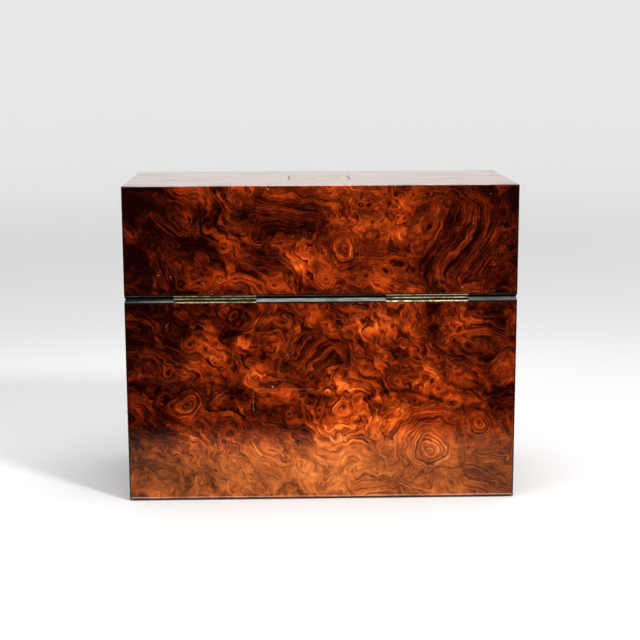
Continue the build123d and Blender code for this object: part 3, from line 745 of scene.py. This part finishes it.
def worn_hinge_with_highlights():
    """Dark brass, rubbed bright and given painted highlights along the knuckles and the two leaf edges."""
    finish = Finish("hinge_brass")
    place = finish.place()
    across, depth, height = (finish.part(place, axis) for axis in "XYZ")
    scratches = finish.grain(place, (0.08, 1, 1), 0.5, 3.0, 0.7)
    stains = finish.grain(place, (0.5, 1, 1), 3.0, 3.0, 0.7)
    rubbed_and_highlit = 0.0
    for line, strength in rubbed_and_highlight_lines:
        away = abs(height - line)
        rubbed_and_highlit = rubbed_and_highlit + finish.between(away, 0.12, 0.6, strength, 0)
    inside = finish.between(depth, rear + groove_depth + 0.4, rear + groove_depth + 1.4)
    to_right = finish.between(across, -60, 60, 0.68, 1.1)
    spotted = finish.between(stains, 0.3, 0.62, 0.25, 1.15)
    even = finish.between(stains, 0.25, 0.7, 0.62, 0.80)
    bright = finish.maths("MAXIMUM", rubbed_and_highlit * to_right * spotted, inside * even)
    shade = finish.ramp(bright, [
        (0.0, (0.008, 0.006, 0.002)), (0.25, (0.085, 0.058, 0.018)), (0.55, (0.38, 0.29, 0.14)),
        (1.0, (0.92, 0.82, 0.58)),
    ])
    return finish.lay(
        Base_Color=shade, Metallic=finish.between(bright, 0, 0.5, 0.2, 0.7), Specular_IOR_Level=0.2,
        Roughness=finish.between(scratches, 0.3, 0.7, 0.3, 0.5), Normal=finish.bump(scratches, 0.03, 0.5),
    )


hinge_brass = worn_hinge_with_highlights()
for name, node in nodes.items():
    if "screws" in name or "pins" in name:
        paint(node, screw_brass)
    elif name.startswith("hinge_"):
        paint(node, hinge_brass)
    elif name in ("link_plate", "link_left", "link_right", "escutcheon"):
        paint(node, plate_brass)
paint(nodes["lock_case"], lock_brass)
paint(nodes["lid_plaque"], plaque_brass)
print("brass on the hinges, plates and screws")

# %% [markdown]
# ## Steel
# The lock's bolt is brushed steel, with its grain along the way that it slides.

# %% Steel
def brushed_steel():
    finish = Finish("bolt_steel")
    grain = finish.grain(finish.place(), (0.06, 1, 1), 0.4, 3.0, 0.7)
    shade = finish.ramp(grain, [(0.3, (0.30, 0.29, 0.28)), (0.7, (0.55, 0.54, 0.52))])
    return finish.lay(
        Base_Color=shade, Metallic=1.0, Roughness=finish.between(grain, 0.3, 0.7, 0.25, 0.42),
        Normal=finish.bump(grain, 0.02, 0.5),
    )


paint(nodes["lock_bolt"], brushed_steel())
print("steel on the bolt")

# %% [markdown]
# ## Carcase wood
# The boards under the veneer are plain, straight-grained wood. They show only as narrow strips between
# the black rims and the velvet, and at their end grain when a piece is looked at by itself.

# %% Carcase wood
def carcase_wood():
    finish = Finish("carcase_wood")
    place = pushed(finish, finish.place(), 60, 5)
    grain = finish.grain(place, (0.035, 0.7, 1), 1.5, 4.0, 0.6)
    pores = finish.grain(place, (0.2, 2, 3), 1.2, 2.0, 0.6)
    shade = finish.ramp(grain + (pores - 0.5) * 0.4, [
        (0.25, (0.085, 0.036, 0.017)), (0.5, (0.19, 0.085, 0.040)), (0.75, (0.30, 0.15, 0.075)),
    ])
    return finish.lay(Base_Color=shade, Roughness=0.62, Normal=finish.bump(pores, 0.06, 0.6))


carcase = carcase_wood()
for name, node in nodes.items():
    if name.endswith("_board"):
        paint(node, carcase)
print("carcase wood on the boards")

# %% [markdown]
# ## Glass
# The decanters and stoppers are clear lead glass with flat ground faces. Their shape is already in the
# solid model, so they need only a clear shader with the high refraction of lead glass, and a trace of
# waviness that blown and ground glass has.

# %% Glass
def lead_glass():
    finish = Finish("cut_glass")
    waves = finish.noise(finish.place(), 16, 1.0)
    return finish.lay(
        Base_Color=(0.97, 0.985, 0.98, 1.0), Roughness=finish.between(waves, 0, 1, 0.0, 0.02),
        IOR=1.56, Transmission_Weight=1.0, Normal=finish.bump(waves, 0.12, 0.3),
    )


glass = lead_glass()
for name, node in nodes.items():
    if name.startswith(("decanter_", "stopper_")):
        paint(node, glass)
print("glass on three decanters and three stoppers")

# %% [markdown]
# ## Velvet
# Velvet is a short upright pile. It looks dark when seen straight on and light at a grazing angle, which
# the shader's sheen gives, and it is lighter or darker where a hand has stroked the pile over. Silk is
# smoother: it has hardly any sheen of that kind, and its threads show as fine lines.

# %% Velvet and silk
def velvet_pile():
    finish = Finish("velvet")
    place = finish.place()
    stroked = finish.grain(pushed(finish, place, 50, 12), (1, 1, 0.55), 24, 2.0)
    pile = finish.noise(place, 0.45, 2.0, 0.7)
    tone = 0.08 + finish.between(stroked, 0.3, 0.7) * 0.42 + pile * 0.42
    shade = finish.ramp(tone, [
        (0.1, (0.028, 0.0015, 0.003)), (0.5, (0.105, 0.006, 0.010)), (0.9, (0.24, 0.020, 0.026)),
    ])
    return finish.lay(
        Base_Color=shade, Roughness=0.9, Sheen_Weight=0.55, Sheen_Roughness=0.35,
        Sheen_Tint=(0.95, 0.25, 0.28, 1.0), Specular_IOR_Level=0.1, Normal=finish.bump(pile, 0.12, 0.9),
    )


def silk():
    finish = Finish("padded_silk")
    place = finish.place()
    sunk = finish.noise(place, 30, 2.0)
    thread = finish.grain(place, (1, 4, 1), 0.6, 2.0, 0.6)
    shade = finish.ramp(sunk * 0.7 + thread * 0.3, [
        (0.3, (0.20, 0.012, 0.020)), (0.5, (0.30, 0.024, 0.034)), (0.7, (0.40, 0.045, 0.055)),
    ])
    return finish.lay(
        Base_Color=shade, Roughness=finish.between(thread, 0.3, 0.7, 0.32, 0.45), Sheen_Weight=0.25,
        Sheen_Roughness=0.3, Normal=finish.bump(thread, 0.04, 0.4),
    )


velvet = velvet_pile()
crimson_silk = silk()
print("velvet and silk written")

# %% [markdown]
# ## Boards wrapped in cloth
# A velvet-covered board is a thin board with cloth pulled over its edges, so every edge is round and the
# face is very slightly full. The mesh is two sheets of points, front and back, joined round the rim.
# The points stand close together over the rounded edge and wider apart in the middle. A slow noise makes
# the faces a little uneven, and a piece may add gathers of its own.

# %% Places along a board
corner_steps = 5


def side_places(length, edge, spacing):
    """Places along a side: close over the round edges, evenly spaced between."""
    turns = [math.radians(90 * step / corner_steps) for step in range(corner_steps + 1)]
    corner = [edge * (1 - math.cos(turn)) for turn in turns]
    count = max(2, round((length - 2 * edge) / spacing))
    middle = [edge + (length - 2 * edge) * step / count for step in range(1, count)]
    return corner + middle + [length - place for place in reversed(corner)]


def drop_at(distance, edge):
    """How far a round edge has fallen at a distance from the rim."""
    if distance >= edge:
        return 0.0
    return edge - math.sqrt(max(0.0, edge ** 2 - (edge - distance) ** 2))


print("a side of 100 mm has", len(side_places(100.0, 1.0, 5.0)), "places")

# %% Wrapped boards
lump_size = 17  # of the slow noise
lump_height = 0.18
swell_edges = 4  # how many edges in from the rim a face is full


def wrapped_board(name, node, edge, spacing, fullness, ruffle=None):
    """A board with round edges in the space of a solid piece; ruffle sinks parts of its faces."""
    low, high = (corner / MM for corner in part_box(node))
    size = high - low
    through = min(range(3), key=lambda axis: size[axis])
    across, along = [axis for axis in range(3) if axis != through]
    rows = side_places(size[across], edge, spacing)
    columns = side_places(size[along], edge, spacing)
    points = []
    for face in (1, -1):
        for u in rows:
            for v in columns:
                rim = min(u, size[across] - u, v, size[along] - v)
                inward = min(1.0, rim / (swell_edges * edge))
                fall = drop_at(rim, edge) + fullness * (1 - inward * inward * (3 - 2 * inward))
                uneven = 0.5 + 0.5 * noise.noise(Vector((u, v, face * 40)) / lump_size)
                fall += lump_height * uneven * inward
                if ruffle:
                    fall += inward * ruffle(u, v)
                point = [0.0, 0.0, 0.0]
                point[across] = low[across] + u
                point[along] = low[along] + v
                point[through] = high[through] - fall if face > 0 else low[through] + fall
                points.append(Vector(point) * MM)
    width = len(columns)
    sheet = len(rows) * width
    faces = []
    for row in range(len(rows) - 1):
        for column in range(width - 1):
            corner = row * width + column
            quad = [corner, corner + 1, corner + width + 1, corner + width]
            faces.append(quad)
            faces.append([sheet + index for index in reversed(quad)])
    border = list(range(width))
    border += [row * width + width - 1 for row in range(1, len(rows))]
    border += [sheet - 1 - column for column in range(1, width)]
    border += [row * width for row in range(len(rows) - 2, 0, -1)]
    for index, here in enumerate(border):
        after = border[(index + 1) % len(border)]
        faces.append([after, here, sheet + here, sheet + after])
    mesh = bpy.data.meshes.new(name)
    mesh.from_pydata(points, [], faces)
    shape = bmesh.new()
    shape.from_mesh(mesh)
    bmesh.ops.recalc_face_normals(shape, faces=shape.faces)
    shape.to_mesh(mesh)
    shape.free()
    mesh.polygons.foreach_set("use_smooth", [True] * len(mesh.polygons))
    piece = bpy.data.objects.new(name, mesh)
    bpy.context.scene.collection.objects.link(piece)
    return piece


def stand_for(piece, node, body, material):
    """The piece takes a solid's place, rides with its body and gets a finish."""
    paint(piece, material)
    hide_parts(node)
    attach(piece, body)


print("a board's face is full", swell_edges, "edges in from its rim")

# %% Velvet boards
board_edges = {  # how round the edges are, in millimetres
    "case_back_lining": 1.6, "case_front_lining": 1.6, "case_left_lining": 1.1, "case_right_lining": 1.1,
    "lid_back_lining": 1.1, "lid_front_lining": 1.1, "lid_left_lining": 1.1, "lid_right_lining": 1.1,
    "floor_pad": 1.0, "divider_left": 2.4, "divider_right": 2.4,
}
for node, edge in board_edges.items():
    board = wrapped_board("velvet_" + node, node, edge, 5.0, 0.15)
    body = "lid" if node.startswith("lid_") else "case"
    stand_for(board, node, body, velvet)
print(len(board_edges), "boards wrapped in velvet")

# %% [markdown]
# ## The silk under the lid's top
# The panel inside the lid is thin wadding under gathered silk. Its gathers run from front to back, a
# little unevenly, and die out at the rim where the silk is pulled over the board.

# %% Gathered silk
gather_pitch = 9.0
gather_depth = 1.8


def gathers(u, v):
    """How far the silk sinks between two gathers, which sway a little on their way."""
    sway = 3.2 * noise.noise(Vector((u / 40, v / 26, 3.1))) + 1.6 * noise.noise(Vector((u / 11, v / 30, 8.7)))
    wave = 0.5 + 0.5 * math.sin(2 * math.pi * (u + sway) / gather_pitch)
    return gather_depth * wave ** 1.8


pad = wrapped_board("silk_pad", "lid_top_pad", 1.3, 1.5, 0.3, gathers)
stand_for(pad, "lid_top_pad", "lid", crimson_silk)
print("silk pad with", len(pad.data.vertices), "points")

# %% [markdown]
# ## Baize
# The box stands on a sheet of green baize glued under its base. It is set in from the edges, so what
# shows is the dark line that it leaves between the box and the table.

# %% Baize
def felted_baize():
    finish = Finish("baize")
    place = finish.place()
    fibres = finish.noise(place, 0.6, 3.0, 0.7)
    worn = finish.noise(place, 28, 3.0, 0.6)
    shade = finish.ramp(worn * 0.5 + fibres * 0.5, [
        (0.3, (0.012, 0.050, 0.026)), (0.5, (0.026, 0.105, 0.052)), (0.75, (0.060, 0.175, 0.090)),
    ])
    return finish.lay(
        Base_Color=shade, Roughness=0.95, Sheen_Weight=0.2, Specular_IOR_Level=0.1,
        Normal=finish.bump(fibres, 0.15, 0.8),
    )


baize = wrapped_board("baize_cover", "base_baize", 0.4, 6.0, 0.0)
stand_for(baize, "base_baize", "case", felted_baize())

# %% [markdown]
# ## Floor and backdrop
# The box stands on a pale floor that sweeps up into a pale wall all round, with no line between them.
# The photograph's polish mirrors a strip of pale floor low on the rear and darkness above that strip,
# as if the white floor ended some 200 mm from the box. So the floor is pale for every ray but a mirrored
# one, and a mirrored ray finds it dark beyond that strip, and pale again where the wall rises. Far from
# the box the lamps grow weak, so the paper there gives a little light of its own.

# %% Floor and backdrop
floor_reach = 3.2
sweep_radius = 0.9
sweep_steps = 8
wall_top = 3.4
sides = 96


def swept_floor():
    """Flat rings of floor, a quarter round, and a wall, all turned about the box."""
    profile = [(0.0, 0.0), (0.5, 0.0), (1.5, 0.0), (floor_reach, 0.0)]
    for step in range(1, sweep_steps + 1):
        turn = math.radians(90 * step / sweep_steps)
        profile.append((floor_reach + sweep_radius * math.sin(turn), sweep_radius * (1 - math.cos(turn))))
    profile.append((floor_reach + sweep_radius, wall_top))
    points = [Vector((0, 0, 0))]
    for radius, height in profile[1:]:
        for side in range(sides):
            turn = 2 * math.pi * side / sides
            points.append(Vector((radius * math.cos(turn), radius * math.sin(turn), height)))
    faces = [[0, 1 + side, 1 + (side + 1) % sides] for side in range(sides)]
    for ring in range(len(profile) - 2):
        for side in range(sides):
            here = 1 + ring * sides + side
            beside = 1 + ring * sides + (side + 1) % sides
            faces.append([here, here + sides, beside + sides, beside])
    mesh = bpy.data.meshes.new("floor_and_backdrop")
    mesh.from_pydata(points, [], faces)
    mesh.polygons.foreach_set("use_smooth", [True] * len(mesh.polygons))
    return bpy.data.objects.new("floor_and_backdrop", mesh)


backdrop = swept_floor()
bpy.context.scene.collection.objects.link(backdrop)
print("floor and backdrop of", len(backdrop.data.polygons), "faces")

# %% Paper
above_all = 10000.0  # higher than any of the paper, so that only the way along the floor counts
pale_strip = (165.0, 262.0)
strip_light = (0.42, 0.36, 0.27)
wall_light = (1.0, 0.95, 0.93)
near_paper = (0.57, 0.57, 0.57)
far_paper = (0.50, 0.50, 0.50)


def pale_paper():
    finish = Finish("pale_paper")
    place = finish.place()
    away = from_block(finish, place, (half_width, half_depth, above_all))
    strip = finish.between(away, *pale_strip, 1.0, 0.01)
    wall = finish.between(finish.part(place, "Z"), 40, 420, 0.0, 1.06)
    glow = finish.vectors("ADD", finish.scaled(strip_light, strip), finish.scaled(wall_light, wall))
    mirrored = finish.node("Emission", {}, {"Color": glow})
    reach = finish.vectors("LENGTH", place, output="Value")
    shade = finish.blend(finish.between(reach, 300, 900), near_paper, far_paper)
    far_light = finish.scaled((1.0, 1.0, 1.0), finish.between(reach, 600, 3300, 0.0, 0.34))
    seen = finish.shader(
        Base_Color=shade, Roughness=0.8, Specular_IOR_Level=0.1,
        Emission_Color=far_light, Emission_Strength=1.0,
    )
    glossy = finish.node("LightPath", output="Is Glossy Ray")
    return finish.done(finish.node("MixShader", {}, {0: glossy, 1: seen, 2: mirrored}))


paint(backdrop, pale_paper())
print("floor and backdrop in place")

# %% [markdown]
# ## Light
# The key is a small lamp above and to the right of the camera, which throws the shadow on the floor to
# the left of the box. A broader and weaker lamp from the left, a large one overhead and a dim even sky
# keep that shadow pale. The camera sees none of them mirrored in the rear of the box, because from its
# place the rear mirrors only floor and wall.

# %% Lights
def soft_light(name, place, size, power, tint):
    """A round lamp that is aimed at the middle of the box."""
    data = bpy.data.lights.new(name, "AREA")
    data.shape = "DISK"
    data.size = size
    data.energy = power
    data.color = tint
    lamp = bpy.data.objects.new(name, data)
    aim = Vector((0, 0, solid_box[1].z / 2)) - Vector(place)
    lamp.rotation_euler = aim.to_track_quat("-Z", "Y").to_euler()
    lamp.location = place
    bpy.context.scene.collection.objects.link(lamp)


soft_light("key", (1.5, -1.62, 1.6), 0.40, 68, (1.0, 0.98, 0.95))
soft_light("fill", (-1.7, -1.3, 1.1), 1.4, 21, (1.0, 0.99, 0.98))
soft_light("overhead", (0.1, -0.1, 2.3), 1.8, 46, (1.0, 1.0, 1.0))
sky = bpy.data.worlds.new("sky")
sky.use_nodes = True
sky_light = sky.node_tree.nodes["Background"]
sky_light.inputs["Color"].default_value = (0.95, 0.97, 1.0, 1.0)
sky_light.inputs["Strength"].default_value = 0.45
bpy.context.scene.world = sky
bpy.context.scene.view_settings.view_transform = "Standard"
print("three lamps and a sky")
